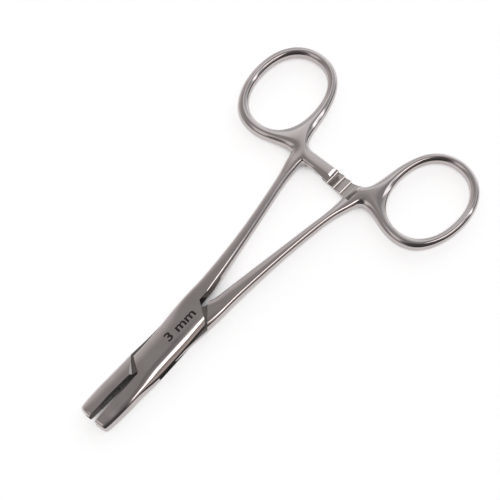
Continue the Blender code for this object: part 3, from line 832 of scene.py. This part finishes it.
lift = Matrix.Translation((0, 0, BOX_THICKNESS / 2))
pieces = {}
for name, blank in branches.items():
    piece = plain_copy(name + "_forging", blank)
    turn = Matrix.Rotation(-SIDE[name] * REST_OPENING / 2, 4, "Z")
    piece.data.transform(lift @ turn)
    piece.data.set_sharp_from_angle(angle=FORGING_EDGE_ANGLE)
    sharpen_facets(piece.data)
    pieces[name] = piece
    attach(piece, BODY[name])
    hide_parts(name)

# The joint pin. A steel rivet pressed through both cheeks and the tongue, ground flush with the
# box and polished with it, so that hardly a hairline shows round it.

PIN_EDGE_ANGLE = radians(30)

stub = pin_tool("joint_stub", PIN_DIAMETER / 2)
ground = stub.modifiers.new("ground_flush", "BOOLEAN")
ground.operation = "INTERSECT"
ground.object = branches["tongue_branch"].copy()
bpy.context.scene.collection.objects.link(ground.object)
for modifier in list(ground.object.modifiers)[1:]:
    ground.object.modifiers.remove(modifier)
rivet = plain_copy("joint_rivet", stub)
bpy.data.objects.remove(ground.object)
rivet.data.transform(lift)
rivet.data.set_sharp_from_angle(angle=PIN_EDGE_ANGLE)

# The blanks and the tools, all hidden, are cleared away; the frame's own hidden nodes stay.
for item in (*branches.values(), stub):
    item.hide_render = True
for item in list(bpy.context.scene.objects):
    if item.type == "MESH" and item.hide_render and "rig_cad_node" not in item:
        bpy.data.objects.remove(item)

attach(rivet, "box_side")
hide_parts("joint_pin")

# The size mark on the box, burnt dark into the polished steel by a laser. It gives the width of
# the channel in millimetres and is read with the rings to the right.

MARK_TEXT = "3 mm"
MARK_LENGTH = 11.0 * MM
MARK_HEIGHT = 2.6 * MM
MARK_CENTRE = (-4.2 * MM, -0.5 * MM)
MARK_LIFT = 0.012 * MM
MARK_GRID = 0.25 * MM
MARK_BOLDNESS = 0.022
MARK_BLACK = (0.018, 0.014, 0.013, 1)
MARK_BROWN = (0.06, 0.048, 0.042, 1)
MARK_SPECKLE = (0.3, 0.75)
MARK_ROUGHNESS = 0.5
MARK_ROUGHNESS_SPREAD = 0.2

letters = bpy.data.curves.new("size_mark", "FONT")
letters.body = MARK_TEXT
letters.resolution_u = 8
letters.offset = MARK_BOLDNESS
sample = bpy.data.objects.new("size_mark_letters", letters)
bpy.context.scene.collection.objects.link(sample)
graph = bpy.context.evaluated_depsgraph_get()
mesh = bpy.data.meshes.new_from_object(sample.evaluated_get(graph))
bpy.data.objects.remove(sample)
bm = bmesh.new()
bm.from_mesh(mesh)
bmesh.ops.remove_doubles(bm, verts=bm.verts, dist=0.0001)
for axis, length in enumerate((MARK_LENGTH, MARK_HEIGHT)):
    low = min(vert.co[axis] for vert in bm.verts)
    high = max(vert.co[axis] for vert in bm.verts)
    for vert in bm.verts:
        share = (vert.co[axis] - low) / (high - low) - 0.5
        vert.co[axis] = -share * length + MARK_CENTRE[axis]
for vert in bm.verts:
    vert.co.z = 0.0
for axis, length in enumerate((MARK_LENGTH, MARK_HEIGHT)):
    normal = Vector((axis == 0, axis == 1, 0))
    for k in range(1, int(length / MARK_GRID)):
        point = Vector((*MARK_CENTRE, 0)) + normal * (k * MARK_GRID - length / 2)
        bmesh.ops.bisect_plane(bm, geom=bm.verts[:] + bm.edges[:] + bm.faces[:],
                               plane_co=point, plane_no=normal)
top = []
for item in (pieces["box_branch"], rivet):
    item.data.calc_loop_triangles()
    top += [[item.data.vertices[i].co for i in face.vertices] for face in item.data.loop_triangles]
corners = [corner for face in top for corner in face]
box_surface = BVHTree.FromPolygons(corners, [(i, i + 1, i + 2) for i in range(0, len(corners), 3)])
for vert in bm.verts:
    above = Vector((vert.co.x, vert.co.y, BOX_THICKNESS))
    vert.co.z = box_surface.find_nearest(above)[0].z + MARK_LIFT
skin = bmesh.ops.extrude_face_region(bm, geom=bm.faces[:])["geom"]
bmesh.ops.translate(bm, verts=[g for g in skin if isinstance(g, bmesh.types.BMVert)],
                    vec=(0, 0, -2 * MARK_LIFT))
bmesh.ops.recalc_face_normals(bm, faces=bm.faces)
bm.to_mesh(mesh)
bm.free()
burnt, board = new_board("burnt_mark")
speckle = board.add("ShaderNodeTexNoise", {}, {"Vector": board.place(), "Scale": 6000.0,
                                               "Detail": 2.0})[0]
colour = board.mix(speckle.rise(*MARK_SPECKLE), MARK_BLACK, MARK_BROWN)
shader = board.add("ShaderNodeBsdfPrincipled", {}, {
    "Base Color": colour, "Metallic": 0.3,
    "Roughness": speckle * MARK_ROUGHNESS_SPREAD + MARK_ROUGHNESS})[0]
board.add("ShaderNodeOutputMaterial", {}, {"Surface": shader})
mesh.materials.clear()
mesh.materials.append(burnt)
mark = bpy.data.objects.new("size_mark", mesh)
bpy.context.scene.collection.objects.link(mark)
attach(mark, "box_side")

# The table and the studio: a white sheet that keeps a soft shadow, its glow faded by painted
# shade where the forceps close it in, pale walls and softboxes round it, and a camera that looks
# down on the forceps from beyond the jaws.

FLOOR_HALF = 0.9
FLOOR_SEEN_GLOW = 0.66
FLOOR_MIRRORED_GLOW = 0.48
GAP_REACH = 8.0 * MM
GAP_OPENNESS = (0.1, 0.42)
DEGREES = 180 / pi
PLAIN_LIGHT = 0.3
WARM_WALL = (1, 0.965, 0.955, 1)
COOL_WALL = (0.97, 0.985, 1, 1)
BROWN_WALL = (1, 0.88, 0.84, 1)
CAMERA_TARGET = Vector((-34.61, -1.53, 2.6)) * MM
CAMERA_PLACE = Vector((47.65, 72.0, 284.0)) * MM
CAMERA_LENS = 75.6

bm = bmesh.new()
bmesh.ops.create_grid(bm, x_segments=1, y_segments=1, size=FLOOR_HALF)
mesh = bpy.data.meshes.new("floor")
bm.to_mesh(mesh)
bm.free()
paper, board = new_board("white_paper")
light_path = board.add("ShaderNodeLightPath")
seen, mirrored = light_path[0], light_path[3]
matt = board.add("ShaderNodeBsdfDiffuse", {}, {"Color": (0.86, 0.86, 0.86, 1)})[0]
# Painted shade: the sheet's glow, seen and in the steel, fades by ambient occlusion in the gaps
# under and between the branches, over the real shadow on its matt part.
openness_for_painted_shade = board.add("ShaderNodeAmbientOcclusion", {"samples": 8}, {"Distance": GAP_REACH})[1]
glow = board.add("ShaderNodeEmission", {}, {
    "Strength": (seen * FLOOR_SEEN_GLOW + mirrored * FLOOR_MIRRORED_GLOW)
    * openness_for_painted_shade.rise(*GAP_OPENNESS)})[0]
shader = board.add("ShaderNodeAddShader", {}, {0: matt, 1: glow})[0]
board.add("ShaderNodeOutputMaterial", {}, {"Surface": shader})
mesh.materials.append(paper)
floor = bpy.data.objects.new("floor", mesh)
bpy.context.scene.collection.objects.link(floor)

world = bpy.data.worlds.new("studio")
bpy.context.scene.world = world
world.use_nodes = True
world.node_tree.nodes.clear()
board = Board(world.node_tree)
towards = board.add("ShaderNodeTexCoord")[0]
east, north, height = board.add("ShaderNodeSeparateXYZ", {}, {"Vector": towards})
from_zenith_degrees = height.math("ARCCOSINE") * DEGREES
stretch = from_zenith_degrees / (1.0 - height * height).math("MAXIMUM", 0.0001).math("SQRT")
east, north = east * stretch, north * stretch


def softbox(place, half_length, half_width, turn, soft):
    """1 inside a softbox given in degrees from the zenith, 0 outside and smooth between."""
    x, y = east - place[0], north - place[1]
    along = (x * cos(radians(turn)) + y * sin(radians(turn))).math("ABSOLUTE")
    across = (y * cos(radians(turn)) - x * sin(radians(turn))).math("ABSOLUTE")
    return (along.rise(half_length + soft / 2, half_length - soft / 2)
            * across.rise(half_width + soft / 2, half_width - soft / 2))


def lit(light, *lamps):
    """The light with lamps or pale walls added, each a shape with its strength."""
    for shape, strength in lamps:
        light = light + shape * strength
    return light


def flagged(light, *flags):
    """The light with flags hung in it, each a shape with the share of light that it holds back."""
    for shape, share in flags:
        light = light * (1.0 - shape * share)
    return light


south_wall = north.rise(-25.0, -80.0)
far_floor = north.rise(84.0, 96.0)
west_wall = east.rise(-17.0, -24.0) * north.rise(-6.0, -16.0) * north.rise(-40.0, -24.0)
south_west_corner = east.rise(-12.0, -20.0) * north.rise(-18.0, -30.0)
north_west_corner = east.rise(-28.0, -42.0) * north.rise(-15.0, -4.0)
brown_wall = softbox((-10.0, 40.0), half_length=9.0, half_width=13.0, turn=0.0, soft=5.0)
level = lit(PLAIN_LIGHT, (south_wall, 0.3), (far_floor, 0.25), (west_wall, 0.46),
            (south_west_corner, 0.16), (north_west_corner, 0.3),
            (brown_wall * north.rise(26.0, 50.0), 0.25))

camera_shade = softbox((-5.0, 0.0), half_length=6.0, half_width=6.0, turn=0.0, soft=5.0)
east_flag = softbox((26.0, 34.0), half_length=31.0, half_width=28.0, turn=0.0, soft=8.0)
level = flagged(level, (camera_shade, 0.3), (east_flag, 0.75))

key_light = softbox((-9.5, 18.5), half_length=6.0, half_width=2.9, turn=100.0, soft=2.5)
key_wing = softbox((-17.5, 21.5), half_length=4.5, half_width=7.0, turn=100.0, soft=3.0)
strip_light = softbox((-33.5, 31.0), half_length=29.0, half_width=2.3, turn=107.0, soft=3.0)
west_panel = east.rise(-55.0, -72.0)
jaw_fill = softbox((29.0, -9.0), half_length=25.0, half_width=9.0, turn=8.0, soft=8.0)
level = lit(level, (key_light, 1.8), (key_wing, 2.3), (strip_light, 1.3),
            (west_panel, 0.45), (jaw_fill, 0.42))

low_flag = (from_zenith_degrees.rise(62.0, 67.0) * from_zenith_degrees.rise(90.0, 85.0)
            * north.rise(15.0, 40.0))
north_flag = softbox((-10.0, 62.0), half_length=10.0, half_width=8.0, turn=0.0, soft=6.0)
level = flagged(level, (low_flag, 0.85), (north_flag, 0.7))

walls = board.mix(east.rise(-18.0, -30.0), WARM_WALL, COOL_WALL)
walls = board.mix(brown_wall, walls, BROWN_WALL)
seen = board.add("ShaderNodeLightPath")[0]
backdrop = board.add("ShaderNodeBackground", {}, {"Color": (1, 1, 1, 1), "Strength": 1.0})[0]
studio = board.add("ShaderNodeBackground", {}, {"Color": walls, "Strength": level})[0]
shown = board.add("ShaderNodeMixShader", {}, {"Fac": seen, 1: studio, 2: backdrop})[0]
board.add("ShaderNodeOutputWorld", {}, {"Surface": shown})

camera_data = bpy.data.cameras.new("camera")
camera_data.sensor_width = 36.0
camera_data.lens = CAMERA_LENS
camera_data.clip_start = 0.01
camera = bpy.data.objects.new("camera", camera_data)
camera.location = CAMERA_PLACE
camera.rotation_mode = "QUATERNION"
camera.rotation_quaternion = (CAMERA_TARGET - CAMERA_PLACE).to_track_quat("-Z", "Y")
bpy.context.scene.collection.objects.link(camera)
bpy.context.scene.camera = camera
bpy.context.scene.view_settings.view_transform = "Standard"
